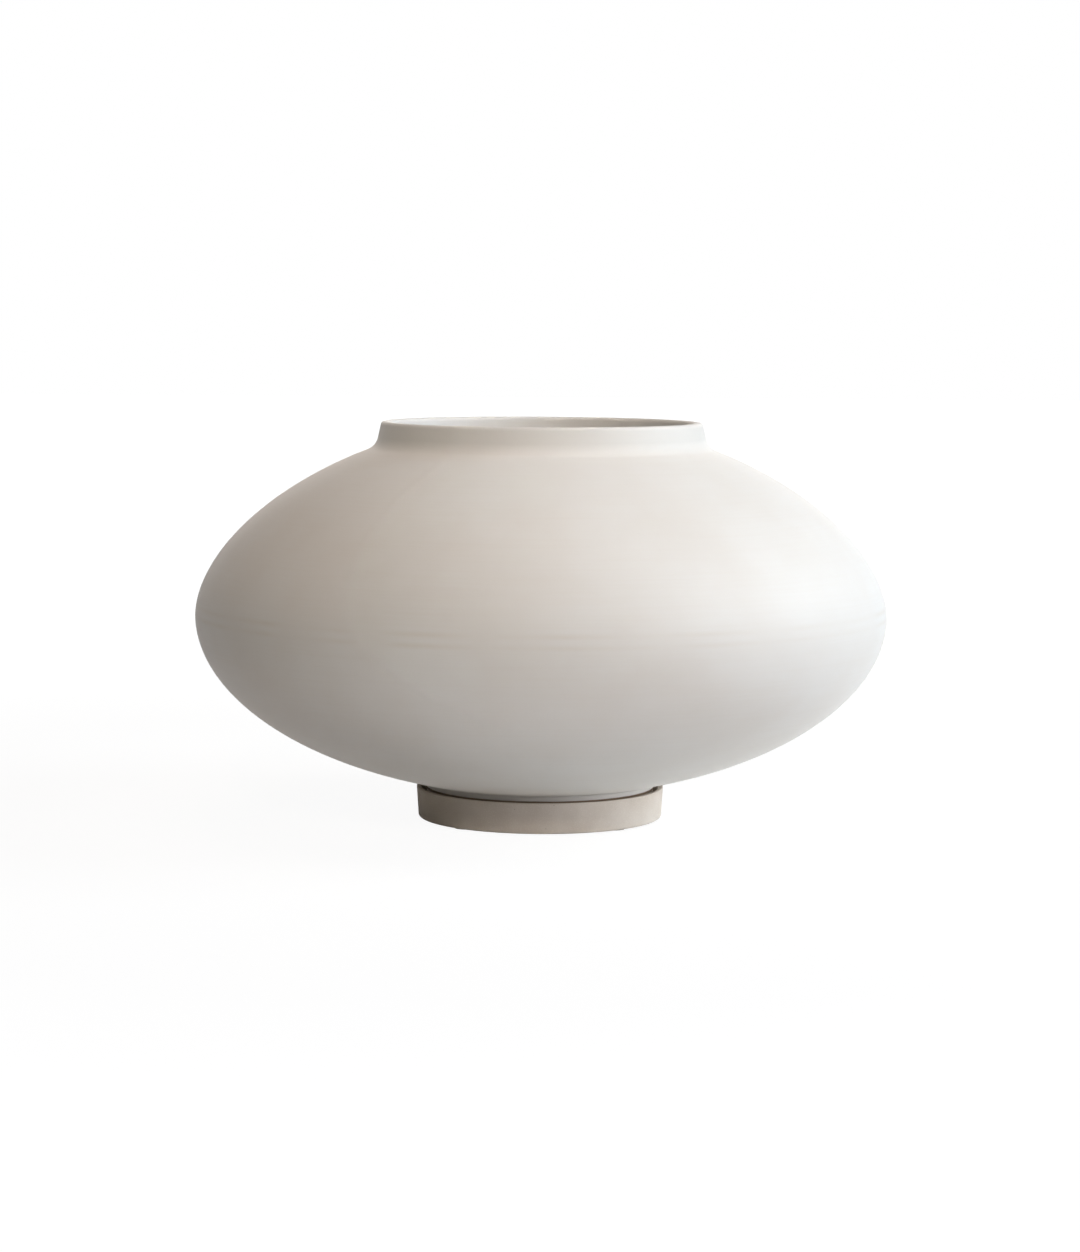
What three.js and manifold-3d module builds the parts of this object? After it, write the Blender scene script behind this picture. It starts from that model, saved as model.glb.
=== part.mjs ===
// A low, wide ceramic planter. The pot has a flattened round belly, a short collar at its mouth and a narrow
// foot, and the foot stands in a shallow saucer. A slotted strainer lies over the drain hole inside the pot,
// and felt pads under the saucer protect the table.
// Millimetres, +Z up. The origin is on the table, on the pot's centre line.
import * as THREE from 'three';
import { mergeVertices } from 'three/addons/utils/BufferGeometryUtils.js';
import Module from 'manifold-3d';

// Belly of the pot. Above and below its widest circle it is a quarter of a superellipse, and the exponent
// says how full that quarter is: 2 is a plain ellipse, and a lower value is more pointed at the widest circle.
const BELLY_RADIUS = 177.8;
const BELLY_RISE = 102.6;
const BELLY_RISE_EXPONENT = 1.79;
const BELLY_DROP = 92;
const BELLY_DROP_EXPONENT = 1.97;
const POT_WALL = 5.2;

// Collar and lip. The collar is upright inside and leans in outside, so its wall is thicker at the base.
const COLLAR_BASE_RADIUS = 85.3;
const COLLAR_TOP_RADIUS = 82.5;
const COLLAR_HEIGHT = 12.8;
const COLLAR_FILLET = 9;
const COLLAR_INNER_ROUNDING = 4;
const LIP_ROUNDING = 2;

// Foot, floor and drain hole
const FOOT_RADIUS = 59.2;
const FOOT_HEIGHT = 14.5;
const FOOT_FILLET = 1.5;
const FOOT_EDGE_ROUNDING = 1.5;
const FOOT_RING_WIDTH = 7;
const FOOT_WALL = 6.2;
const FOOT_RECESS = 5.5;
const RECESS_ROUNDING = 2;
const FLOOR_THICKNESS = 6;
const FLOOR_ROUNDING = 5;
const DRAIN_DIAMETER = 16;
const WEEP_NOTCH_WIDTH = 8;
const WEEP_NOTCH_HEIGHT = 3;
const WEEP_NOTCH_COUNT = 4;

// Saucer. Its wall and the foot inside it lean in by the same amount from top to bottom.
const SAUCER_HEIGHT = 15.9;
const SAUCER_WALL = 2.7;
const SAUCER_FLOOR = 4.25;
const SAUCER_LEAN = 1;
const SAUCER_RIM_ROUNDING = 0.9;
const SAUCER_EDGE_ROUNDING = 1.2;
const SAUCER_CORNER_ROUNDING = 2;
const FOOT_CLEARANCE = 2.1;

// Felt pads
const PAD_DIAMETER = 12;
const PAD_THICKNESS = 1;
const PAD_INSET = 4;
const PAD_COUNT = 4;

// Strainer over the drain hole
const SCREEN_OVERLAP = 17;
const SCREEN_THICKNESS = 1.2;
const SCREEN_RISE = 3.6;
const SCREEN_FLANGE = 5;
const SCREEN_HUB_RADIUS = 4;
const SCREEN_WEB = 2;
const SCREEN_SLOT_WIDTH = 1.8;
const SCREEN_SLOT_COUNTS = [8, 16];

// How finely round shapes are divided
const ROUND_STEPS = 64;
const SMALL_ROUND_STEPS = 32;
const BELLY_STEPS = 9;
const INNER_BELLY_STEPS = 6;
const DOME_STEPS = 4;
const STEPS_PER_QUARTER_TURN = 3;

// Sizes that follow from the ones above
const footBottomRadius = FOOT_RADIUS - SAUCER_LEAN;
const saucerRadius = FOOT_RADIUS + FOOT_CLEARANCE + SAUCER_WALL;
const drainRadius = DRAIN_DIAMETER / 2;
const floorTop = FOOT_RECESS + FLOOR_THICKNESS;

const wasm = await Module();
wasm.setup();

// A closed three.js geometry as a solid that can be cut.
function toSolid(geometry) {
  const bare = geometry.clone();
  bare.deleteAttribute('normal');
  bare.deleteAttribute('uv');
  const merged = mergeVertices(bare);
  const triangles = [];
  for (let i = 0; i < merged.index.count; i += 3) {
    const [a, b, c] = merged.index.array.slice(i, i + 3);
    const isFlat = a === b || b === c || c === a;
    if (!isFlat) triangles.push(a, b, c);
  }
  const vertProperties = merged.attributes.position.array;
  return new wasm.Manifold(new wasm.Mesh({ numProp: 3, vertProperties, triVerts: new Uint32Array(triangles) }));
}

// A geometry with a list of other geometries cut out of it.
function cutOut(geometry, cutters) {
  const solid = cutters.reduce((rest, cutter) => rest.subtract(toSolid(cutter)), toSolid(geometry));
  const { vertProperties, triVerts } = solid.getMesh();
  const cut = new THREE.BufferGeometry();
  cut.setAttribute('position', new THREE.BufferAttribute(vertProperties, 3));
  cut.setIndex(new THREE.BufferAttribute(triVerts, 1));
  const faceted = cut.toNonIndexed();
  faceted.computeVertexNormals();
  return faceted;
}

// An outline in radius and height, turned about the Z axis.
function turned(outline, steps) {
  const points = outline.map(([radius, height]) => new THREE.Vector2(radius, height));
  return new THREE.LatheGeometry(points, steps).rotateX(Math.PI / 2);
}

// The arc that rounds a corner. It starts on the side towards the point before and ends on the other side,
// and it takes at most half of the shorter side.
function roundedCorner(before, corner, after, rounding) {
  const at = new THREE.Vector2(...corner);
  const back = new THREE.Vector2(...before).sub(at);
  const ahead = new THREE.Vector2(...after).sub(at);
  const halfAngle = Math.abs(Math.atan2(back.cross(ahead), back.dot(ahead))) / 2;
  const longest = Math.min(back.length(), ahead.length()) / 2;
  const tangent = Math.min(rounding / Math.tan(halfAngle), longest);
  const radius = tangent * Math.tan(halfAngle);
  back.normalize();
  ahead.normalize();
  const start = at.clone().addScaledVector(back, tangent);
  const middle = back.clone().add(ahead).normalize();
  const centre = at.clone().addScaledVector(middle, radius / Math.sin(halfAngle));
  const turn = Math.PI - 2 * halfAngle;
  const steps = Math.max(1, Math.round(turn / (Math.PI / 2) * STEPS_PER_QUARTER_TURN));
  const sweep = -Math.sign(back.cross(ahead)) * turn;
  return Array.from({ length: steps + 1 }, (_, i) => {
    const point = start.clone().rotateAround(centre, sweep * i / steps);
    return [point.x, point.y];
  });
}

// A closed outline from corners, each a radius, a height and the rounding of that corner, if it has one.
function roundedOutline(corners) {
  const outline = corners.flatMap((corner, i) => {
    const [radius, height, rounding] = corner;
    if (!rounding) return [[radius, height]];
    const before = corners.at(i - 1).slice(0, 2);
    const after = corners[(i + 1) % corners.length].slice(0, 2);
    return roundedCorner(before, [radius, height], after, rounding);
  });
  return [...outline, outline[0]];
}

// Points on one quarter of a belly, as radius and distance from its widest circle, from that circle to the
// circle where the belly ends.
function bellyQuarter(radius, rise, exponent, endRadius, steps) {
  const endAngle = Math.acos((endRadius / radius) ** (exponent / 2));
  return Array.from({ length: steps + 1 }, (_, i) => {
    const angle = endAngle * i / steps;
    return [radius * Math.cos(angle) ** (2 / exponent), rise * Math.sin(angle) ** (2 / exponent)];
  });
}

function material(color, roughness) {
  return new THREE.MeshStandardMaterial({ color, roughness, metalness: 0 });
}

function named(name, geometry, look) {
  const mesh = new THREE.Mesh(geometry, look);
  mesh.name = name;
  return mesh;
}

// The pot's section, from the drain hole outwards under the floor, up the outside, over the lip, and down the
// inside to the drain hole again. Height zero is the bottom of the foot.
function potOutline() {
  const lowerOuter = bellyQuarter(BELLY_RADIUS, BELLY_DROP, BELLY_DROP_EXPONENT, FOOT_RADIUS, BELLY_STEPS);
  const upperOuter = bellyQuarter(BELLY_RADIUS, BELLY_RISE, BELLY_RISE_EXPONENT, COLLAR_BASE_RADIUS, BELLY_STEPS);
  const wellRadius = FOOT_RADIUS - FOOT_WALL;
  const lowerInner = bellyQuarter(
    BELLY_RADIUS - POT_WALL, BELLY_DROP - POT_WALL, BELLY_DROP_EXPONENT, wellRadius, INNER_BELLY_STEPS);
  const mouthRadius = COLLAR_TOP_RADIUS - POT_WALL;
  const upperInner = bellyQuarter(
    BELLY_RADIUS - POT_WALL, BELLY_RISE - POT_WALL, BELLY_RISE_EXPONENT, mouthRadius, INNER_BELLY_STEPS);
  const widestHeight = FOOT_HEIGHT + lowerOuter.at(-1)[1];
  const below = ([radius, distance]) => [radius, widestHeight - distance];
  const above = ([radius, distance]) => [radius, widestHeight + distance];
  const lipHeight = widestHeight + upperOuter.at(-1)[1] + COLLAR_HEIGHT;
  const recessRadius = footBottomRadius - FOOT_RING_WIDTH;
  return roundedOutline([
    [drainRadius, FOOT_RECESS],
    [recessRadius, FOOT_RECESS, RECESS_ROUNDING],
    [recessRadius, 0],
    [footBottomRadius, 0, FOOT_EDGE_ROUNDING],
    [FOOT_RADIUS, FOOT_HEIGHT, FOOT_FILLET],
    ...lowerOuter.slice(1, -1).reverse().map(below),
    ...upperOuter.slice(0, -1).map(above),
    [...above(upperOuter.at(-1)), COLLAR_FILLET],
    [COLLAR_TOP_RADIUS, lipHeight, LIP_ROUNDING],
    [mouthRadius, lipHeight, LIP_ROUNDING],
    [...above(upperInner.at(-1)), COLLAR_INNER_ROUNDING],
    ...upperInner.slice(0, -1).reverse().map(above),
    ...lowerInner.slice(1).map(below),
    [wellRadius, floorTop, FLOOR_ROUNDING],
    [drainRadius, floorTop],
  ]);
}

// Cutters for the small notches in the bottom of the foot ring, which let water run out into the saucer.
function weepNotches() {
  const cutterLength = 2 * FOOT_RING_WIDTH;
  return Array.from({ length: WEEP_NOTCH_COUNT }, (_, i) => {
    const angle = (i + 0.5) * 2 * Math.PI / WEEP_NOTCH_COUNT;
    return new THREE.BoxGeometry(cutterLength, WEEP_NOTCH_WIDTH, 2 * WEEP_NOTCH_HEIGHT)
      .translate(footBottomRadius - FOOT_RING_WIDTH / 2, 0, 0)
      .rotateZ(angle);
  });
}

function makePot() {
  const glazedClay = material('#efebe4', 0.6);
  return named('pot', cutOut(turned(potOutline(), ROUND_STEPS), weepNotches()), glazedClay);
}

// Height zero is the saucer's underside. The outline starts and ends on the axis.
function makeSaucer() {
  const bareClay = material('#c9c1b7', 0.85);
  const innerRadius = saucerRadius - SAUCER_WALL;
  const floorShare = SAUCER_FLOOR / SAUCER_HEIGHT;
  const outline = roundedOutline([
    [0, 0],
    [saucerRadius - SAUCER_LEAN, 0, SAUCER_EDGE_ROUNDING],
    [saucerRadius, SAUCER_HEIGHT, SAUCER_RIM_ROUNDING],
    [innerRadius, SAUCER_HEIGHT, SAUCER_RIM_ROUNDING],
    [innerRadius - SAUCER_LEAN * (1 - floorShare), SAUCER_FLOOR, SAUCER_CORNER_ROUNDING],
    [0, SAUCER_FLOOR],
  ]).slice(0, -1);
  return named('saucer', turned(outline, ROUND_STEPS), bareClay);
}

// The pads stand on the table, in a circle just inside the saucer's bottom edge and half way between the axes.
function makePads() {
  const felt = material('#8f8a82', 1);
  const padRadius = PAD_DIAMETER / 2;
  const circleRadius = saucerRadius - SAUCER_LEAN - PAD_INSET - padRadius;
  const outline = [[0, 0], [padRadius, 0], [padRadius, PAD_THICKNESS], [0, PAD_THICKNESS]];
  return Array.from({ length: PAD_COUNT }, (_, i) => {
    const angle = (i + 0.5) * 2 * Math.PI / PAD_COUNT;
    const pad = named(`felt_pad_${i + 1}`, turned(outline, SMALL_ROUND_STEPS), felt);
    pad.position.set(circleRadius * Math.cos(angle), circleRadius * Math.sin(angle), 0);
    return pad;
  });
}

// The strainer: a flat flange that lies on the floor, round a low dome with rings of radial slots. Height
// zero is the underside of the flange.
function makeDrainScreen() {
  const plastic = material('#33363a', 0.55);
  const flangeRadius = drainRadius + SCREEN_OVERLAP;
  const domeRadius = flangeRadius - SCREEN_FLANGE;
  const dome = Array.from({ length: DOME_STEPS + 1 }, (_, i) => {
    const radius = domeRadius * i / DOME_STEPS;
    return [radius, SCREEN_RISE * (1 - (radius / domeRadius) ** 2)];
  });
  const outline = [
    ...dome,
    [flangeRadius, 0],
    [flangeRadius, SCREEN_THICKNESS],
    ...dome.map(([radius, height]) => [radius, height + SCREEN_THICKNESS]).reverse(),
  ];
  const rings = SCREEN_SLOT_COUNTS.length;
  const slotLength = (domeRadius - SCREEN_HUB_RADIUS) / rings - SCREEN_WEB;
  const cutterHeight = 3 * (SCREEN_RISE + SCREEN_THICKNESS);
  const slots = SCREEN_SLOT_COUNTS.flatMap((count, ring) => {
    const slotStart = SCREEN_HUB_RADIUS + ring * (slotLength + SCREEN_WEB);
    return Array.from({ length: count }, (_, i) =>
      new THREE.BoxGeometry(slotLength, SCREEN_SLOT_WIDTH, cutterHeight)
        .translate(slotStart + slotLength / 2, 0, 0)
        .rotateZ(i * 2 * Math.PI / count));
  });
  return named('drain_screen', cutOut(turned(outline, SMALL_ROUND_STEPS), slots), plastic);
}

// The strainer lies on the pot's floor, the pot stands on the saucer's floor, and the saucer on its pads.
function makePlanter() {
  const screen = makeDrainScreen();
  screen.position.z = floorTop;
  const potGroup = new THREE.Group();
  potGroup.position.z = SAUCER_FLOOR;
  potGroup.add(makePot(), screen);
  const saucerGroup = new THREE.Group();
  saucerGroup.position.z = PAD_THICKNESS;
  saucerGroup.add(makeSaucer(), potGroup);
  const planter = new THREE.Group();
  planter.add(saucerGroup, ...makePads());
  return planter;
}

export default makePlanter();
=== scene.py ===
import math

import bpy
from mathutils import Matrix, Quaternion, Vector


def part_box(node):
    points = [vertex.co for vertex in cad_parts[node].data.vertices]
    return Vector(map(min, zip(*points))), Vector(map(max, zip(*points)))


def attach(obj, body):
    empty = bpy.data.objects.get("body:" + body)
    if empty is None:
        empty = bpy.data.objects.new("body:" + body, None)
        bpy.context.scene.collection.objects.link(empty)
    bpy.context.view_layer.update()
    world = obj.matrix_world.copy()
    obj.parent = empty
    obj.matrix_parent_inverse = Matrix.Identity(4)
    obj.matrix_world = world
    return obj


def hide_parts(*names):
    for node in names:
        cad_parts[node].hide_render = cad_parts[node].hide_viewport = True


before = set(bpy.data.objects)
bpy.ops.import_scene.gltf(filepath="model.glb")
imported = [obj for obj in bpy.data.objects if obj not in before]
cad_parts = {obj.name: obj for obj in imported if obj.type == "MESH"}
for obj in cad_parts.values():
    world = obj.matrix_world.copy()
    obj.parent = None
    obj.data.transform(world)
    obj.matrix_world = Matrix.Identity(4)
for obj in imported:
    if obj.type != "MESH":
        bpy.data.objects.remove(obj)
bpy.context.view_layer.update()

bpy.context.scene.view_settings.view_transform = "Standard"

# Camera. It stands in front of the planter and only a little above its lip, so that the mouth shows as a
# thin sliver, and it looks down by a few degrees. Metres, millimetres on the lens, and degrees.
CAMERA_DISTANCE = 1.6511
CAMERA_ASIDE = -0.00044
CAMERA_HEIGHT = 0.2621
CAMERA_TILT = 5.618
CAMERA_ROLL = 0.345
FRAME_LONG_SIDE_MM = 36
LENS_MM = 92.23

camera_data = bpy.data.cameras.new("camera")
camera_data.sensor_width = FRAME_LONG_SIDE_MM
camera_data.lens = LENS_MM
camera = bpy.data.objects.new("camera", camera_data)
bpy.context.scene.collection.objects.link(camera)
camera.location = (CAMERA_ASIDE, -CAMERA_DISTANCE, CAMERA_HEIGHT)
look = Quaternion((1, 0, 0), math.radians(90 - CAMERA_TILT))
roll = Quaternion((0, 0, 1), math.radians(CAMERA_ROLL))
camera.rotation_euler = (look @ roll).to_euler()
bpy.context.scene.camera = camera

# Studio. A plain pale floor in plain white surroundings. Cool daylight comes from the right, and warmer
# light from above, from the front and from behind fills the shade. The floor keeps a pale shadow of the
# planter: near it, it shows a share of the light that falls on it, and further out it glows plain white.
FLOOR_SIZE = 16
FLOOR_COLOUR = "#E4E3E1"
WHITE = "#FFFFFF"
FLOOR_GLOW_STRENGTH = 1.1
GLOW_SHARE_AT_PLANTER = 0.85
GLOW_FADE_START = 0.45
GLOW_FADE_END = 1.5
PLANTER_MIDDLE = (0, 0, 0.1)


def linear(hex_colour):
    """An sRGB hex value as the linear colour that a shader takes."""
    channels = [int(hex_colour[i:i + 2], 16) / 255 for i in (1, 3, 5)]
    return [c / 12.92 if c <= 0.04045 else ((c + 0.055) / 1.055) ** 2.4 for c in channels] + [1]


def new_material(name):
    """A material with an empty node tree, and that tree."""
    material = bpy.data.materials.new(name)
    material.use_nodes = True
    material.node_tree.nodes.clear()
    return material, material.node_tree


def add_node(tree, kind, inputs=None, **settings):
    """Adds a node with its own settings, and gives each input a value or another node's output."""
    node = tree.nodes.new(kind)
    for name, value in settings.items():
        setattr(node, name, value)
    for socket, value in (inputs or {}).items():
        if isinstance(value, bpy.types.NodeSocket):
            tree.links.new(value, node.inputs[socket])
        else:
            node.inputs[socket].default_value = value
    return node


def seen_directly(tree):
    """1 for a ray that shows the surroundings themselves, to the camera or mirrored or through glass."""
    path = add_node(tree, "ShaderNodeLightPath")
    mirrored = add_node(tree, "ShaderNodeMath", {
        0: path.outputs["Is Glossy Ray"], 1: path.outputs["Is Transmission Ray"]}, operation="MAXIMUM")
    return add_node(tree, "ShaderNodeMath", {
        0: path.outputs["Is Camera Ray"], 1: mirrored.outputs[0]}, operation="MAXIMUM").outputs[0]


studio_floor, tree = new_material("studio_floor")
paint = add_node(tree, "ShaderNodeBsdfDiffuse", {"Color": linear(FLOOR_COLOUR)})
glow = add_node(tree, "ShaderNodeEmission", {"Color": linear(WHITE), "Strength": FLOOR_GLOW_STRENGTH})
spot = add_node(tree, "ShaderNodeTexCoord")
distance = add_node(tree, "ShaderNodeVectorMath", {0: spot.outputs["Object"]}, operation="LENGTH")
glow_there = add_node(tree, "ShaderNodeMapRange", {
    "Value": distance.outputs["Value"], "From Min": GLOW_FADE_START, "From Max": GLOW_FADE_END,
    "To Min": GLOW_SHARE_AT_PLANTER, "To Max": 1})
glow_share = add_node(tree, "ShaderNodeMath", {
    0: seen_directly(tree), 1: glow_there.outputs[0]}, operation="MULTIPLY")
floor_mix = add_node(tree, "ShaderNodeMixShader", {
    0: glow_share.outputs[0], 1: paint.outputs[0], 2: glow.outputs[0]})
add_node(tree, "ShaderNodeOutputMaterial", {"Surface": floor_mix.outputs[0]})

bpy.ops.object.select_all(action="DESELECT")
bpy.ops.mesh.primitive_plane_add(size=FLOOR_SIZE, location=(0, 0, 0))
floor = bpy.context.object
floor.name = "studio_floor"
floor.data.materials.append(studio_floor)

world = bpy.data.worlds.new("studio")
bpy.context.scene.world = world
world.use_nodes = True
world.node_tree.nodes.clear()
tree = world.node_tree
surroundings = add_node(tree, "ShaderNodeBackground", {
    "Color": linear(WHITE), "Strength": seen_directly(tree)})
add_node(tree, "ShaderNodeOutputWorld", {"Surface": surroundings.outputs[0]})


def softbox(name, place, width, height, watts, colour, aim=PLANTER_MIDDLE, spread=180):
    """A soft light that no camera sees. It faces the planter, or its aim, and a grid can narrow its spread.
    Metres, watts and degrees."""
    lamp = bpy.data.lights.new(name, "AREA")
    lamp.shape = "RECTANGLE"
    lamp.size = width
    lamp.size_y = height
    lamp.energy = watts
    lamp.color = linear(colour)[:3]
    lamp.spread = math.radians(spread)
    light = bpy.data.objects.new(name, lamp)
    bpy.context.scene.collection.objects.link(light)
    light.location = place
    light.rotation_euler = (Vector(aim) - Vector(place)).to_track_quat("-Z", "Y").to_euler()
    light.visible_camera = False


softbox("daylight_right", (2.031, 0, 1.18), 1.4, 0.9, 36.5, "#E4F3FF")
softbox("daylight_front_right", (1.446, -1.723, 0.578), 1.2, 0.6, 10.9, "#FCF6FF")
softbox("lamp_overhead", (0, -0.08, 2.4), 1.8, 1.4, 14.0, "#FFECE3")
softbox("lamp_behind", (0, 2.2, 0.6), 1.8, 0.8, 7.5, "#FFF9F2")
softbox("gridded_lamp_on_front", (0, -1.386, 0.9), 0.4, 0.4, 0.148, "#FFF5E4", (0, 0, 0.17), 16)
softbox("gridded_lamp_on_saucer", (0.8, 0, 0.04), 0.16, 0.05, 0.030, "#F3F8FF", (0.06, 0, 0.008), 17)

# Saucer. A separate shallow dish of warm grey stoneware, turned on the wheel and fired without glaze. Its
# wall leans in by a millimetre towards the base. The rim is cut crisp outside and falls towards the inside,
# so that drips run back into the dish, and a sponge has softened the bottom edge. Millimetres.
MM = 0.001
SAUCER_WALL = 2.7
SAUCER_FLOOR = 4.25
SAUCER_LEAN = 1.0
SAUCER_RIM_FALL = 0.5
SAUCER_RIM_OUTER_ROUNDING = 0.5
SAUCER_RIM_INNER_ROUNDING = 1.3
SAUCER_EDGE_ROUNDING = 1.2
SAUCER_CORNER_ROUNDING = 2.0
ROUND_STEPS = 160
ROUNDING_STEPS = 8
SMOOTH_ANGLE = 35
MERGE_DISTANCE = 0.005
MOST_OF_NOISE = (0.35, 0.65)  # Noise mostly lies in this part of its range of 0 to 1.
CLAY_PALE = "#D8CFC3"
CLAY_DARK = "#D1C7BA"
CLAY_SAND = "#E7E0D5"
CLAY_SPECK = "#857868"
CERAMIC_IOR = 1.5
CLAY_ROUGHNESS = 0.88
CLAY_SPECULAR = 0.3
CLAY_CLOUD_MM = 16
SAND_GRAIN_MM = 0.5
SAND_DEPTH_MM = 0.05
SAND_NOISE = (0.5, 0.8)
SAND_SHARE = 0.6
SPECK_SPACING_MM = 6
SPECK_RADIUS_MM = 0.35
SPECK_SHARE = 0.5
SPONGE_RING_MM = 1.3
RING_DRIFT_MM = 60


def rounded(corners):
    """A section's points from its corners: each is a radius, a height and, if it is rounded, to what."""
    points = []
    for i, corner in enumerate(corners):
        at = Vector(corner[:2])
        if len(corner) < 3:
            points.append(at)
            continue
        back = Vector(corners[i - 1][:2]) - at
        ahead = Vector(corners[(i + 1) % len(corners)][:2]) - at
        half_angle = back.angle(ahead) / 2
        tangent = min(corner[2] / math.tan(half_angle), back.length / 2, ahead.length / 2)
        middle = (back.normalized() + ahead.normalized()).normalized()
        centre = at + middle * tangent / math.cos(half_angle)
        spoke = at + back.normalized() * tangent - centre
        sweep = -math.copysign(math.pi - 2 * half_angle, back.x * ahead.y - back.y * ahead.x)
        for step in range(ROUNDING_STEPS + 1):
            angle = sweep * step / ROUNDING_STEPS
            points.append(centre + Vector((
                spoke.x * math.cos(angle) - spoke.y * math.sin(angle),
                spoke.x * math.sin(angle) + spoke.y * math.cos(angle))))
    return points


def throw(name, section, seat, material):
    """Draws a section point by point, in millimetres above its seat, and spins it about the centre line."""
    places = [Vector((radius * MM, 0, seat + height * MM)) for radius, height in section]
    bpy.ops.object.select_all(action="DESELECT")
    bpy.ops.mesh.primitive_plane_add(size=MM, location=(0, 0, 0))
    piece = bpy.context.object
    piece.name = name
    piece.data.name = name
    bpy.ops.object.mode_set(mode="EDIT")
    bpy.ops.mesh.merge(type="CENTER")
    bpy.ops.transform.translate(value=places[0])
    for here, there in zip(places, places[1:]):
        bpy.ops.mesh.extrude_region_move(TRANSFORM_OT_translate={"value": there - here})
    bpy.ops.mesh.select_all(action="SELECT")
    bpy.ops.mesh.spin(steps=ROUND_STEPS, angle=math.tau, center=(0, 0, 0), axis=(0, 0, 1))
    bpy.ops.mesh.select_all(action="SELECT")
    bpy.ops.mesh.remove_doubles(threshold=MERGE_DISTANCE * MM)
    bpy.ops.mesh.normals_make_consistent(inside=False)
    bpy.ops.object.mode_set(mode="OBJECT")
    bpy.ops.object.shade_smooth_by_angle(angle=math.radians(SMOOTH_ANGLE))
    piece.data.materials.append(material)
    return piece


def place_in_millimetres(tree):
    """Each point's place, its distance from the centre line and its height, all in millimetres."""
    coordinates = add_node(tree, "ShaderNodeTexCoord")
    place = add_node(tree, "ShaderNodeMapping", {
        "Vector": coordinates.outputs["Object"], "Scale": (1 / MM, 1 / MM, 1 / MM)})
    split = add_node(tree, "ShaderNodeSeparateXYZ", {0: place.outputs[0]})
    flat = add_node(tree, "ShaderNodeVectorMath", {0: place.outputs[0], 1: (1, 1, 0)}, operation="MULTIPLY")
    radius = add_node(tree, "ShaderNodeVectorMath", {0: flat.outputs[0]}, operation="LENGTH")
    return place.outputs[0], radius.outputs["Value"], split.outputs["Z"]


def turning_rings(tree, place, radius, spacing):
    """Fine rings left by a rib or a sponge while the wheel turned: they follow one another closely up a
    wall or across a floor, and hardly change on the way round."""
    stretch = add_node(tree, "ShaderNodeVectorMath", {
        0: place, 1: (1 / RING_DRIFT_MM, 1 / RING_DRIFT_MM, 1 / spacing)}, operation="MULTIPLY")
    across = add_node(tree, "ShaderNodeMath", {0: radius, 1: 1 / spacing}, operation="MULTIPLY")
    return add_node(tree, "ShaderNodeTexNoise", {
        "Vector": stretch.outputs[0], "W": across.outputs[0], "Scale": 1, "Detail": 2},
        noise_dimensions="4D").outputs["Fac"]


def bare_clay(tree, place, radius):
    """Unglazed stoneware's colour and surface height: cloudy from the kiln, with pale sand grains, sparse
    dark iron specks, and the rings that the sponge left."""
    cloud = add_node(tree, "ShaderNodeTexNoise", {"Vector": place, "Scale": 1 / CLAY_CLOUD_MM, "Detail": 3})
    cloud_share = add_node(tree, "ShaderNodeMapRange", {
        "Value": cloud.outputs["Fac"], "From Min": MOST_OF_NOISE[0], "From Max": MOST_OF_NOISE[1]})
    body = add_node(tree, "ShaderNodeMix", {
        0: cloud_share.outputs[0], 6: linear(CLAY_DARK), 7: linear(CLAY_PALE)}, data_type="RGBA")
    sand = add_node(tree, "ShaderNodeTexNoise", {"Vector": place, "Scale": 1 / SAND_GRAIN_MM, "Detail": 2})
    sand_share = add_node(tree, "ShaderNodeMapRange", {
        "Value": sand.outputs["Fac"], "From Min": SAND_NOISE[0], "From Max": SAND_NOISE[1],
        "To Max": SAND_SHARE})
    sandy = add_node(tree, "ShaderNodeMix", {
        0: sand_share.outputs[0], 6: body.outputs[2], 7: linear(CLAY_SAND)}, data_type="RGBA")
    speck = add_node(tree, "ShaderNodeTexVoronoi", {"Vector": place, "Scale": 1 / SPECK_SPACING_MM})
    speck_share = add_node(tree, "ShaderNodeMapRange", {
        "Value": speck.outputs["Distance"], "From Min": SPECK_RADIUS_MM / SPECK_SPACING_MM,
        "From Max": SPECK_RADIUS_MM / 2 / SPECK_SPACING_MM, "To Max": SPECK_SHARE})
    colour = add_node(tree, "ShaderNodeMix", {
        0: speck_share.outputs[0], 6: sandy.outputs[2], 7: linear(CLAY_SPECK)}, data_type="RGBA")
    height = add_node(tree, "ShaderNodeMath", {
        0: sand.outputs["Fac"], 1: turning_rings(tree, place, radius, SPONGE_RING_MM)}, operation="ADD")
    return colour.outputs[2], height.outputs[0]


# Unglazed stoneware is dry and quite matt, and its sandy tooth shows where the light grazes it.
stoneware, tree = new_material("unglazed_stoneware")
place, radius, _ = place_in_millimetres(tree)
clay_colour, clay_height = bare_clay(tree, place, radius)
tooth = add_node(tree, "ShaderNodeBump", {
    "Height": clay_height, "Distance": SAND_DEPTH_MM * MM, "Strength": 1})
surface = add_node(tree, "ShaderNodeBsdfPrincipled", {
    "Base Color": clay_colour, "Roughness": CLAY_ROUGHNESS, "IOR": CERAMIC_IOR,
    "Specular IOR Level": CLAY_SPECULAR, "Normal": tooth.outputs[0]})
add_node(tree, "ShaderNodeOutputMaterial", {"Surface": surface.outputs[0]})

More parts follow.
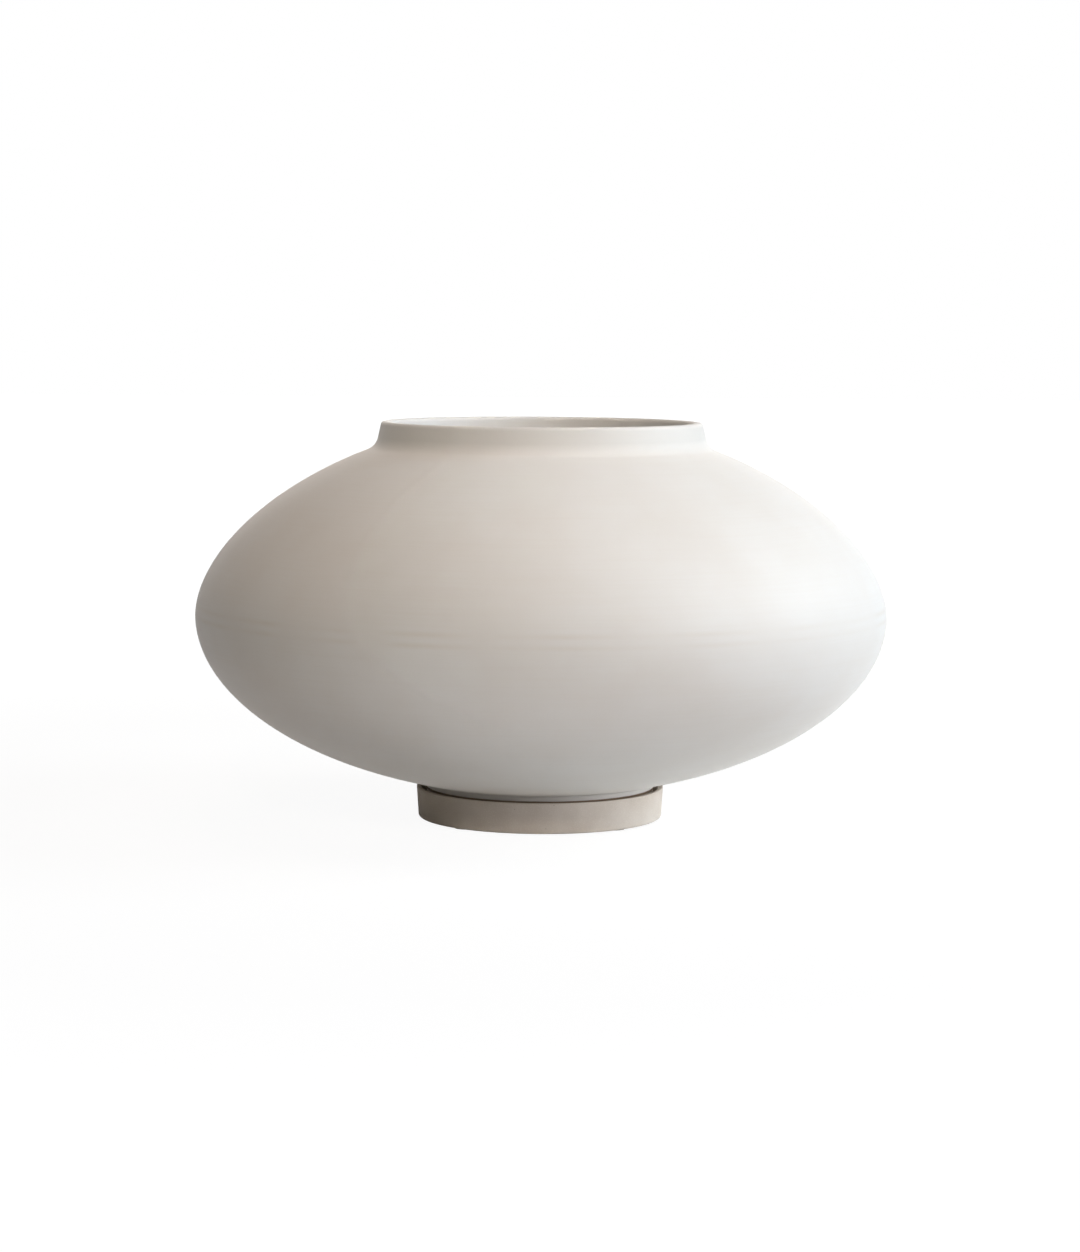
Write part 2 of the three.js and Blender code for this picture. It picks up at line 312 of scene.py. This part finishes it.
saucer_low, saucer_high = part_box("saucer")
saucer_radius = saucer_high.x / MM
saucer_height = (saucer_high.z - saucer_low.z) / MM
saucer_inner = saucer_radius - SAUCER_WALL
saucer = throw("saucer_stoneware", rounded([
    (0, 0),
    (saucer_radius - SAUCER_LEAN, 0, SAUCER_EDGE_ROUNDING),
    (saucer_radius, saucer_height, SAUCER_RIM_OUTER_ROUNDING),
    (saucer_inner, saucer_height - SAUCER_RIM_FALL, SAUCER_RIM_INNER_ROUNDING),
    (saucer_inner - SAUCER_LEAN * (1 - SAUCER_FLOOR / saucer_height), SAUCER_FLOOR, SAUCER_CORNER_ROUNDING),
    (0, SAUCER_FLOOR),
]), saucer_low.z, stoneware)
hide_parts("saucer")
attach(saucer, "saucer")

# Pot. One piece of stoneware, thrown in two halves and joined, fired, and covered inside and out with a
# matt off-white glaze. The foot is bare clay up to the saucer's rim, a height that also darkens the gap
# between them as painted shade, and a brown band along the glaze's edge is painted shadow in that gap.
# Notches in the ring that it stands on let water run out into the saucer. Millimetres.
BELLY_RISE = 102.6
BELLY_RISE_EXPONENT = 1.79
BELLY_DROP = 92.0
BELLY_DROP_EXPONENT = 1.97
BELLY_STEPS = 44
INNER_BELLY_STEPS = 80
POT_WALL = 5.2
COLLAR_BASE_RADIUS = 85.3
COLLAR_TOP_RADIUS = 82.5
COLLAR_HEIGHT = 12.8
COLLAR_FILLET = 9.0
COLLAR_FILLET_REACH = 7.5
COLLAR_INNER_ROUNDING = 4.0
LIP_ROUNDING = 2.0
FOOT_RADIUS = 59.2
FOOT_HEIGHT = 14.5
FOOT_FILLET = 1.5
FOOT_EDGE_ROUNDING = 1.5
FOOT_RING_WIDTH = 7.0
FOOT_RING_INNER_ROUNDING = 1.0
FOOT_WALL = 6.2
FOOT_RECESS = 5.5
RECESS_ROUNDING = 2.0
FLOOR_THICKNESS = 6.0
FLOOR_ROUNDING = 5.0
DRAIN_RADIUS = 8.0
DRAIN_EDGE_ROUNDING = 0.8
NOTCH_WIDTH = 8.0
NOTCH_HEIGHT = 3.0
NOTCH_COUNT = 4
NOTCH_ROUNDING = 1.5
NOTCH_ROUNDING_STEPS = 4
RIDGE_PITCH = 12.0
RIDGE_HEIGHT = 0.3
GLAZE_COLOUR = "#EFEBE4"
THIN_GLAZE_AND_DARK_LINE_COLOUR = "#EBE5DB"
GLAZE_THICK_COLOUR = "#F1EEE8"
# Painted shade: a greyer colour laid on the collar's upright wall and on the foot under the belly.
COLLAR_AND_FOOT_SHADE_COLOUR = "#DEDBD4"
COLLAR_SHADE_SHARE = 0.75
COLLAR_SHADE_START = 1.0  # Below the collar's foot.
COLLAR_SHADE_END = 5.0  # Above the collar's foot.
COLLAR_SHADE_FADE_UNDER_LIP = 0.3  # Below the lip's top.
FOOT_SHADE_START = 0.3  # Above the crease where the belly meets the foot.
FOOT_SHADE_END = 0.7  # Below that crease.
GLAZE_SPECULAR = 0.4
GLAZE_ROUGHNESS = (0.52, 0.62)
GLAZE_CLOUD_MM = 35
GLAZE_GRAIN_MM = 0.8
GLAZE_GRAIN_NOISE = (0.3, 0.7)
GLAZE_RING_MM = 1.2
GLAZE_RING_DEPTH_MM = 0.02
GLAZE_RING_NOISE = (0.45, 0.8)
GLAZE_RING_SHARE = 0.25
DARK_LINES_HEIGHT = 104.0
DARK_LINE_SPACING = 5.2
DARK_LINE_HALF_WIDTH = 2.0
DARK_LINE_SHARE = 0.8
# The glaze's edge sits at the saucer's rim, so that the darker bare clay below it also paints shade into
# the gap.
GLAZE_EDGE_HEIGHT = 11.75
GLAZE_EDGE_WAVE_MM = 9
GLAZE_EDGE_SWING = 0.3
GLAZE_EDGE_SOFTNESS = 0.15
# Painted shadow: a brown band along the glaze's edge, in the gap between the foot and the saucer's rim.
GAP_SHADOW_COLOUR = "#85725E"
GAP_SHADOW_BAND_MM = 1.6


def belly_quarter(radius, rise, exponent, end_radius, steps):
    """Points from the belly's widest circle to its end, each a radius and a distance from that circle."""
    end_angle = math.acos((end_radius / radius) ** (exponent / 2))
    angles = [end_angle * step / steps for step in range(steps + 1)]
    return [(radius * math.cos(a) ** (2 / exponent), rise * math.sin(a) ** (2 / exponent)) for a in angles]


def with_throwing_ridges(wall):
    """The inner wall with the soft ridges that the potter's fingers left. They die out at its ends."""
    length = sum(math.dist(here, there) for here, there in zip(wall, wall[1:]))
    walked = 0
    ridged = [wall[0]]
    for before, at, after in zip(wall, wall[1:], wall[2:]):
        walked += math.dist(before, at)
        along = (Vector(after) - Vector(before)).normalized()
        fade = math.sqrt(math.sin(math.pi * walked / length))
        lift = RIDGE_HEIGHT / 2 * fade * (math.sin(math.tau * walked / RIDGE_PITCH) + 1)
        ridged.append((at[0] + along.y * lift, at[1] - along.x * lift))
    return ridged + [wall[-1]]


# A matt glaze: an off-white skin of glass full of fine crystals. It scatters light softly with no clear
# highlight, is a little warmer where it lies thin, and faintly shows the turning rings of the clay below.
# Two faint broken darker lines run round the pot near its widest circle. The upright wall of the collar
# and the top of the foot under the belly are greyed with painted shade.
glaze, tree = new_material("matt_white_glaze_on_stoneware")
place, radius, height = place_in_millimetres(tree)
pot_low, pot_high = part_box("pot")
foot_bottom = pot_low.z / MM

cloud = add_node(tree, "ShaderNodeTexNoise", {"Vector": place, "Scale": 1 / GLAZE_CLOUD_MM, "Detail": 2})
cloud_share = add_node(tree, "ShaderNodeMapRange", {
    "Value": cloud.outputs["Fac"], "From Min": MOST_OF_NOISE[0], "From Max": MOST_OF_NOISE[1]})
clouded = add_node(tree, "ShaderNodeMix", {
    0: cloud_share.outputs[0], 6: linear(GLAZE_COLOUR), 7: linear(GLAZE_THICK_COLOUR)}, data_type="RGBA")
rings = turning_rings(tree, place, radius, GLAZE_RING_MM)
ring_share = add_node(tree, "ShaderNodeMapRange", {
    "Value": rings, "From Min": GLAZE_RING_NOISE[0], "From Max": GLAZE_RING_NOISE[1],
    "To Max": GLAZE_RING_SHARE})
# Two faint darker lines round the pot near its widest circle, broken up by the cloud noise.
from_dark_lines = add_node(tree, "ShaderNodeMath", {
    0: height, 1: foot_bottom + DARK_LINES_HEIGHT}, operation="SUBTRACT")
either_side = add_node(tree, "ShaderNodeMath", {0: from_dark_lines.outputs[0]}, operation="ABSOLUTE")
from_line = add_node(tree, "ShaderNodeMath", {
    0: either_side.outputs[0], 1: DARK_LINE_SPACING / 2}, operation="SUBTRACT")
off_line = add_node(tree, "ShaderNodeMath", {0: from_line.outputs[0]}, operation="ABSOLUTE")
dark_line_share = add_node(tree, "ShaderNodeMapRange", {
    "Value": off_line.outputs[0], "From Min": DARK_LINE_HALF_WIDTH, "From Max": 0,
    "To Max": DARK_LINE_SHARE})
broken_dark_lines = add_node(tree, "ShaderNodeMath", {
    0: dark_line_share.outputs[0], 1: cloud_share.outputs[0]}, operation="MULTIPLY")
thin_glaze_and_dark_line_share = add_node(tree, "ShaderNodeMath", {
    0: ring_share.outputs[0], 1: broken_dark_lines.outputs[0]}, operation="MAXIMUM")
glaze_colour = add_node(tree, "ShaderNodeMix", {
    0: thin_glaze_and_dark_line_share.outputs[0], 6: clouded.outputs[2], 7: linear(THIN_GLAZE_AND_DARK_LINE_COLOUR)}, data_type="RGBA")

wave = add_node(tree, "ShaderNodeTexNoise", {"Vector": place, "Scale": 1 / GLAZE_EDGE_WAVE_MM, "Detail": 2})
swing = add_node(tree, "ShaderNodeMath", {
    0: wave.outputs["Fac"], 1: -GLAZE_EDGE_SWING, 2: height}, operation="MULTIPLY_ADD")
glaze_edge = foot_bottom + GLAZE_EDGE_HEIGHT - GLAZE_EDGE_SWING / 2
below_edge = add_node(tree, "ShaderNodeMapRange", {
    "Value": swing.outputs[0], "From Min": glaze_edge + GLAZE_EDGE_SOFTNESS,
    "From Max": glaze_edge - GLAZE_EDGE_SOFTNESS})
outside_ring = add_node(tree, "ShaderNodeMath", {
    0: radius, 1: FOOT_RADIUS - FOOT_RING_WIDTH}, operation="GREATER_THAN")
on_ring = add_node(tree, "ShaderNodeMath", {
    0: below_edge.outputs[0], 1: outside_ring.outputs[0]}, operation="MULTIPLY")
# Painted shadow in the gap between the foot and the saucer's rim, just below the glaze's edge.
gap_shadow_share = add_node(tree, "ShaderNodeMapRange", {
    "Value": swing.outputs[0], "From Min": glaze_edge - GAP_SHADOW_BAND_MM,
    "From Max": glaze_edge - GAP_SHADOW_BAND_MM / 2})
inside_ring = add_node(tree, "ShaderNodeMath", {
    0: radius, 1: FOOT_RADIUS - FOOT_RING_WIDTH}, operation="LESS_THAN")
under_floor = add_node(tree, "ShaderNodeMath", {
    0: height, 1: foot_bottom + FOOT_RECESS + FLOOR_THICKNESS / 2}, operation="LESS_THAN")
in_recess = add_node(tree, "ShaderNodeMath", {
    0: inside_ring.outputs[0], 1: under_floor.outputs[0]}, operation="MULTIPLY")
bare = add_node(tree, "ShaderNodeMath", {
    0: on_ring.outputs[0], 1: in_recess.outputs[0]}, operation="MAXIMUM")
clay_colour, clay_height = bare_clay(tree, place, radius)
clay_with_gap_shadow = add_node(tree, "ShaderNodeMix", {
    0: gap_shadow_share.outputs[0], 6: clay_colour, 7: linear(GAP_SHADOW_COLOUR)}, data_type="RGBA")
lip_top = pot_high.z / MM
# Painted shade on the foot just under the belly's crease, where the belly overhangs it.
on_foot = add_node(tree, "ShaderNodeMapRange", {
    "Value": height, "From Min": foot_bottom + FOOT_HEIGHT + FOOT_SHADE_START,
    "From Max": foot_bottom + FOOT_HEIGHT - FOOT_SHADE_END})
outside_foot = add_node(tree, "ShaderNodeMath", {
    0: radius, 1: FOOT_RADIUS - FOOT_WALL / 2}, operation="GREATER_THAN")
# Painted shade on the collar's upright wall, fading out just below the lip.
on_collar = add_node(tree, "ShaderNodeMapRange", {
    "Value": height, "From Min": lip_top - COLLAR_HEIGHT - COLLAR_SHADE_START,
    "From Max": lip_top - COLLAR_HEIGHT + COLLAR_SHADE_END, "To Max": COLLAR_SHADE_SHARE})
below_lip = add_node(tree, "ShaderNodeMapRange", {
    "Value": height, "From Min": lip_top - COLLAR_SHADE_FADE_UNDER_LIP, "From Max": lip_top - LIP_ROUNDING})
outside_collar = add_node(tree, "ShaderNodeMath", {
    0: radius, 1: COLLAR_TOP_RADIUS - POT_WALL / 2}, operation="GREATER_THAN")
shaded_foot = add_node(tree, "ShaderNodeMath", {
    0: on_foot.outputs[0], 1: outside_foot.outputs[0]}, operation="MULTIPLY")
collar_wall = add_node(tree, "ShaderNodeMath", {
    0: on_collar.outputs[0], 1: outside_collar.outputs[0]}, operation="MULTIPLY")
shaded_collar = add_node(tree, "ShaderNodeMath", {
    0: collar_wall.outputs[0], 1: below_lip.outputs[0]}, operation="MULTIPLY")
painted_shade_share = add_node(tree, "ShaderNodeMath", {
    0: shaded_foot.outputs[0], 1: shaded_collar.outputs[0]}, operation="MAXIMUM")
# Mixes in the painted shade on the collar and on the foot.
glaze_with_painted_shade = add_node(tree, "ShaderNodeMix", {
    0: painted_shade_share.outputs[0], 6: glaze_colour.outputs[2],
    7: linear(COLLAR_AND_FOOT_SHADE_COLOUR)}, data_type="RGBA")
pot_colour = add_node(tree, "ShaderNodeMix", {
    0: bare.outputs[0], 6: glaze_with_painted_shade.outputs[2], 7: clay_with_gap_shadow.outputs[2]}, data_type="RGBA")

grain = add_node(tree, "ShaderNodeTexNoise", {"Vector": place, "Scale": 1 / GLAZE_GRAIN_MM, "Detail": 2})
glaze_roughness = add_node(tree, "ShaderNodeMapRange", {
    "Value": grain.outputs["Fac"], "From Min": GLAZE_GRAIN_NOISE[0], "From Max": GLAZE_GRAIN_NOISE[1],
    "To Min": GLAZE_ROUGHNESS[0], "To Max": GLAZE_ROUGHNESS[1]})
pot_roughness = add_node(tree, "ShaderNodeMix", {
    0: bare.outputs[0], 2: glaze_roughness.outputs[0], 3: CLAY_ROUGHNESS})
glaze_relief = add_node(tree, "ShaderNodeMath", {
    0: rings, 1: GLAZE_RING_DEPTH_MM * MM}, operation="MULTIPLY")
clay_relief = add_node(tree, "ShaderNodeMath", {
    0: clay_height, 1: SAND_DEPTH_MM * MM}, operation="MULTIPLY")
relief = add_node(tree, "ShaderNodeMix", {
    0: bare.outputs[0], 2: glaze_relief.outputs[0], 3: clay_relief.outputs[0]})
bump = add_node(tree, "ShaderNodeBump", {"Height": relief.outputs[0], "Distance": 1, "Strength": 1})
surface = add_node(tree, "ShaderNodeBsdfPrincipled", {
    "Base Color": pot_colour.outputs[2], "Roughness": pot_roughness.outputs[0], "IOR": CERAMIC_IOR,
    "Specular IOR Level": GLAZE_SPECULAR, "Normal": bump.outputs[0]})
add_node(tree, "ShaderNodeOutputMaterial", {"Surface": surface.outputs[0]})

belly_radius = pot_high.x / MM
lip_height = (pot_high.z - pot_low.z) / MM
foot_bottom_radius = FOOT_RADIUS - SAUCER_LEAN
recess_radius = foot_bottom_radius - FOOT_RING_WIDTH
well_radius = FOOT_RADIUS - FOOT_WALL
floor_top = FOOT_RECESS + FLOOR_THICKNESS
lower_outer = belly_quarter(belly_radius, BELLY_DROP, BELLY_DROP_EXPONENT, FOOT_RADIUS, BELLY_STEPS)
upper_outer = belly_quarter(belly_radius, BELLY_RISE, BELLY_RISE_EXPONENT, COLLAR_BASE_RADIUS, BELLY_STEPS)
lower_inner = belly_quarter(
    belly_radius - POT_WALL, BELLY_DROP - POT_WALL, BELLY_DROP_EXPONENT, well_radius, INNER_BELLY_STEPS)
mouth_radius = COLLAR_TOP_RADIUS - POT_WALL
upper_inner = belly_quarter(
    belly_radius - POT_WALL, BELLY_RISE - POT_WALL, BELLY_RISE_EXPONENT, mouth_radius, INNER_BELLY_STEPS)
widest = FOOT_HEIGHT + lower_outer[-1][1]
fillet_end = COLLAR_BASE_RADIUS + COLLAR_FILLET_REACH
outside = [(r, widest - drop) for r, drop in lower_outer[-2::-1]]
outside += [(r, widest + rise) for r, rise in upper_outer[1:-1] if r > fillet_end]
inner_wall = [(r, widest + rise) for r, rise in upper_inner[::-1]]
inner_wall += [(r, widest - drop) for r, drop in lower_inner[1:]]
inside = with_throwing_ridges(inner_wall)
pot_section = rounded([
    (DRAIN_RADIUS, FOOT_RECESS, DRAIN_EDGE_ROUNDING),
    (recess_radius, FOOT_RECESS, RECESS_ROUNDING),
    (recess_radius, 0, FOOT_RING_INNER_ROUNDING),
    (foot_bottom_radius, 0, FOOT_EDGE_ROUNDING),
    (FOOT_RADIUS, FOOT_HEIGHT, FOOT_FILLET),
    *outside,
    (upper_outer[-1][0], widest + upper_outer[-1][1], COLLAR_FILLET),
    (COLLAR_TOP_RADIUS, lip_height, LIP_ROUNDING),
    (mouth_radius, lip_height, LIP_ROUNDING),
    (*inside[0], COLLAR_INNER_ROUNDING),
    *inside[1:],
    (well_radius, floor_top, FLOOR_ROUNDING),
    (DRAIN_RADIUS, floor_top, DRAIN_EDGE_ROUNDING),
])
pot = throw("pot_glazed", pot_section + pot_section[:1], pot_low.z, glaze)

for i in range(NOTCH_COUNT):
    angle = (i + 0.5) * math.tau / NOTCH_COUNT
    middle = (foot_bottom_radius - FOOT_RING_WIDTH / 2) * MM
    bpy.ops.object.select_all(action="DESELECT")
    bpy.ops.mesh.primitive_cube_add(
        size=1, location=(middle * math.cos(angle), middle * math.sin(angle), pot_low.z),
        rotation=(0, 0, angle), scale=(2 * FOOT_RING_WIDTH * MM, NOTCH_WIDTH * MM, 2 * NOTCH_HEIGHT * MM))
    cutter = bpy.context.object
    bpy.ops.object.transform_apply(location=False, rotation=False, scale=True)
    softener = cutter.modifiers.new("rounded_roof", "BEVEL")
    softener.width = NOTCH_ROUNDING * MM
    softener.segments = NOTCH_ROUNDING_STEPS
    notch = pot.modifiers.new("notch", "BOOLEAN")
    notch.object = cutter
    notch.operation = "DIFFERENCE"
    notch.solver = "EXACT"
    bpy.context.view_layer.objects.active = pot
    bpy.ops.object.modifier_apply(modifier=notch.name)
    bpy.data.objects.remove(cutter)
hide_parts("pot")
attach(pot, "pot")

# Drain screen. A loose moulded strainer of dark grey plastic that lies over the drain hole and keeps the
# soil in. It is a low dome with two rings of radial slots, a flat flange round it, and a dimple where the
# mould was fed. Millimetres.
SCREEN_OVERLAP = 17.0
SCREEN_SEAT_GAP = 0.02  # Holds it just off the pot's floor, so that the two share no face.
SCREEN_THICKNESS = 1.2
SCREEN_RISE = 3.6
SCREEN_FLANGE = 5.0
SCREEN_HUB_RADIUS = 4.0
SCREEN_WEB = 2.0
SCREEN_SLOT_WIDTH = 1.8
SCREEN_SLOT_COUNTS = (8, 16)
SCREEN_EDGE_ROUNDING = 0.3
SCREEN_DOME_STEPS = 20
SLOT_CORNER_SHARE = 0.45
SLOT_CORNER_STEPS = 4
SLIVER_LENGTH = 0.001
GATE_RADIUS = 1.1
GATE_SLOPE = 0.2
GATE_DEPTH = 0.3
GATE_RIM_DROP = 0.02
PLASTIC_COLOUR = "#33363A"
PLASTIC_SCUFF_COLOUR = "#43464A"
PLASTIC_IOR = 1.49
PLASTIC_ROUGHNESS = (0.48, 0.62)
SCUFF_MM = 6
SCUFF_NOISE = (0.5, 0.75)
SCUFF_SHARE = 0.6
WORN_NOISE = (0.3, 0.7)
SPARK_TEXTURE_MM = 0.25
SPARK_DEPTH_MM = 0.02

# Moulded polypropylene, coloured through. The spark-eroded mould gives it a fine, even, dull grain.
plastic, tree = new_material("moulded_polypropylene")
place, _, _ = place_in_millimetres(tree)
sparks = add_node(tree, "ShaderNodeTexNoise", {"Vector": place, "Scale": 1 / SPARK_TEXTURE_MM, "Detail": 1})
wear = add_node(tree, "ShaderNodeTexNoise", {"Vector": place, "Scale": 1 / SCUFF_MM, "Detail": 4})
wear_share = add_node(tree, "ShaderNodeMapRange", {
    "Value": wear.outputs["Fac"], "From Min": SCUFF_NOISE[0], "From Max": SCUFF_NOISE[1],
    "To Max": SCUFF_SHARE})
plastic_colour = add_node(tree, "ShaderNodeMix", {
    0: wear_share.outputs[0], 6: linear(PLASTIC_COLOUR),
    7: linear(PLASTIC_SCUFF_COLOUR)}, data_type="RGBA")
plastic_roughness = add_node(tree, "ShaderNodeMapRange", {
    "Value": wear.outputs["Fac"], "From Min": WORN_NOISE[0], "From Max": WORN_NOISE[1],
    "To Min": PLASTIC_ROUGHNESS[0], "To Max": PLASTIC_ROUGHNESS[1]})
bump = add_node(tree, "ShaderNodeBump", {
    "Height": sparks.outputs["Fac"], "Distance": SPARK_DEPTH_MM * MM, "Strength": 1})
surface = add_node(tree, "ShaderNodeBsdfPrincipled", {
    "Base Color": plastic_colour.outputs[2], "Roughness": plastic_roughness.outputs[0],
    "IOR": PLASTIC_IOR, "Normal": bump.outputs[0]})
add_node(tree, "ShaderNodeOutputMaterial", {"Surface": surface.outputs[0]})

screen_low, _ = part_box("drain_screen")
flange_radius = DRAIN_RADIUS + SCREEN_OVERLAP
dome_radius = flange_radius - SCREEN_FLANGE
dome = [(dome_radius * i / SCREEN_DOME_STEPS, SCREEN_RISE * (1 - (i / SCREEN_DOME_STEPS) ** 2))
        for i in range(SCREEN_DOME_STEPS + 1)]
dome_top = [(r, z + SCREEN_THICKNESS) for r, z in dome[:0:-1] if r > GATE_RADIUS + GATE_DEPTH]
gate_floor = SCREEN_RISE + SCREEN_THICKNESS - GATE_DEPTH
screen = throw("drain_screen_moulded", rounded([
    *[(r, max(z, SCREEN_SEAT_GAP)) for r, z in dome],
    (flange_radius, SCREEN_SEAT_GAP, SCREEN_EDGE_ROUNDING),
    (flange_radius, SCREEN_THICKNESS, SCREEN_EDGE_ROUNDING),
    *dome_top,
    (GATE_RADIUS + GATE_SLOPE, gate_floor + GATE_DEPTH - GATE_RIM_DROP),
    (GATE_RADIUS, gate_floor),
    (0, gate_floor),
]), screen_low.z, plastic)

slot_length = (dome_radius - SCREEN_HUB_RADIUS) / len(SCREEN_SLOT_COUNTS) - SCREEN_WEB
for ring, count in enumerate(SCREEN_SLOT_COUNTS):
    slot_middle = (SCREEN_HUB_RADIUS + ring * (slot_length + SCREEN_WEB) + slot_length / 2) * MM
    for i in range(count):
        angle = i * math.tau / count
        bpy.ops.object.select_all(action="DESELECT")
        bpy.ops.mesh.primitive_cube_add(
            size=1, location=(slot_middle * math.cos(angle), slot_middle * math.sin(angle), screen_low.z),
            rotation=(0, 0, angle),
            scale=(slot_length * MM, SCREEN_SLOT_WIDTH * MM, 3 * (SCREEN_RISE + SCREEN_THICKNESS) * MM))
        cutter = bpy.context.object
        bpy.ops.object.transform_apply(location=False, rotation=False, scale=True)
        bpy.ops.object.mode_set(mode="EDIT")
        bpy.ops.mesh.select_all(action="DESELECT")
        bpy.ops.object.mode_set(mode="OBJECT")
        for edge in cutter.data.edges:
            start, end = (cutter.data.vertices[v].co for v in edge.vertices)
            edge.select = abs(start.z - end.z) > MM
        bpy.ops.object.mode_set(mode="EDIT")
        bpy.ops.mesh.select_mode(type="EDGE")
        bpy.ops.mesh.bevel(
            offset=SLOT_CORNER_SHARE * SCREEN_SLOT_WIDTH * MM, segments=SLOT_CORNER_STEPS)
        bpy.ops.object.mode_set(mode="OBJECT")
        slot = screen.modifiers.new("slot", "BOOLEAN")
        slot.object = cutter
        slot.operation = "DIFFERENCE"
        slot.solver = "EXACT"
        bpy.context.view_layer.objects.active = screen
        bpy.ops.object.modifier_apply(modifier=slot.name)
        bpy.data.objects.remove(cutter)
bpy.ops.object.select_all(action="DESELECT")
screen.select_set(True)
bpy.context.view_layer.objects.active = screen
bpy.ops.object.mode_set(mode="EDIT")
bpy.ops.mesh.select_all(action="SELECT")
bpy.ops.mesh.remove_doubles(threshold=SLIVER_LENGTH * MM)
bpy.ops.mesh.dissolve_degenerate(threshold=SLIVER_LENGTH * MM)
bpy.ops.object.mode_set(mode="OBJECT")
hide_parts("drain_screen")
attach(screen, "drain_screen")

# Felt pads. Four discs of pressed grey felt, stuck under the saucer so that it doesn't scratch the table.
# They are punched from sheet, and their cut edges are a little rounded and fibrous. Millimetres.
PAD_COUNT = 4
PAD_STEPS = 72
PAD_EDGE_ROUNDING = 0.3
PAD_EDGE_STEPS = 4
PAD_EDGE_ANGLE = 60
FELT_DARK = "#7E7971"
FELT_PALE = "#9C978E"
FELT_ROUGHNESS = 0.95
FELT_SPECULAR = 0.2
FUZZ = 0.3
FUZZ_ROUGHNESS = 0.5
FIBRE_LENGTH_MM = 1.6
FIBRE_CLUMP_MM = 0.48
FIBRE_NOISE = (0.7, 1.3)
FELT_DEPTH_MM = 0.12

# Pressed wool felt: short fibres that lie every way, dull, with a soft pale fuzz at grazing angles.
felt, tree = new_material("pressed_wool_felt")
place, _, _ = place_in_millimetres(tree)
swirl = add_node(tree, "ShaderNodeTexNoise", {
    "Vector": place, "Scale": 1 / FIBRE_LENGTH_MM, "Detail": 3, "Distortion": 2})
fibres = add_node(tree, "ShaderNodeTexNoise", {
    "Vector": place, "Scale": 1 / FIBRE_CLUMP_MM, "Detail": 4, "Distortion": 3})
fibre_mix = add_node(tree, "ShaderNodeMath", {
    0: swirl.outputs["Fac"], 1: fibres.outputs["Fac"]}, operation="ADD")
fibre_share = add_node(tree, "ShaderNodeMapRange", {
    "Value": fibre_mix.outputs[0], "From Min": FIBRE_NOISE[0], "From Max": FIBRE_NOISE[1]})
felt_colour = add_node(tree, "ShaderNodeMix", {
    0: fibre_share.outputs[0], 6: linear(FELT_DARK), 7: linear(FELT_PALE)}, data_type="RGBA")
bump = add_node(tree, "ShaderNodeBump", {
    "Height": fibre_mix.outputs[0], "Distance": FELT_DEPTH_MM * MM, "Strength": 1})
surface = add_node(tree, "ShaderNodeBsdfPrincipled", {
    "Base Color": felt_colour.outputs[2], "Roughness": FELT_ROUGHNESS, "Specular IOR Level": FELT_SPECULAR,
    "Sheen Weight": FUZZ, "Sheen Roughness": FUZZ_ROUGHNESS, "Normal": bump.outputs[0]})
add_node(tree, "ShaderNodeOutputMaterial", {"Surface": surface.outputs[0]})

pad_low, pad_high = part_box("felt_pad_1")
pad_middle = (pad_low + pad_high) / 2
pad_radius = (pad_high.x - pad_low.x) / 2
pad_thickness = pad_high.z - pad_low.z
bpy.ops.object.select_all(action="DESELECT")
bpy.ops.mesh.primitive_cylinder_add(
    vertices=PAD_STEPS, radius=pad_radius, depth=pad_thickness, location=pad_middle)
first_pad = bpy.context.object
bpy.ops.object.transform_apply(location=True, rotation=False, scale=False)
edge_roller = first_pad.modifiers.new("pressed_edge", "BEVEL")
edge_roller.width = PAD_EDGE_ROUNDING * MM
edge_roller.segments = PAD_EDGE_STEPS
edge_roller.limit_method = "ANGLE"
edge_roller.angle_limit = math.radians(PAD_EDGE_ANGLE)
bpy.ops.object.modifier_apply(modifier=edge_roller.name)
bpy.ops.object.shade_smooth_by_angle(angle=math.radians(SMOOTH_ANGLE))
first_pad.data.materials.append(felt)
pads = [first_pad]
for i in range(1, PAD_COUNT):
    bpy.ops.object.select_all(action="DESELECT")
    first_pad.select_set(True)
    bpy.context.view_layer.objects.active = first_pad
    bpy.ops.object.duplicate(linked=False)
    pad = bpy.context.object
    pad.rotation_euler = (0, 0, i * math.tau / PAD_COUNT)
    bpy.ops.object.transform_apply(location=False, rotation=True, scale=False)
    pads.append(pad)
for number, pad in enumerate(pads, 1):
    pad.name = f"felt_pad_{number}_pressed"
    pad.data.name = pad.name
    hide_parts(f"felt_pad_{number}")
    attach(pad, "saucer")
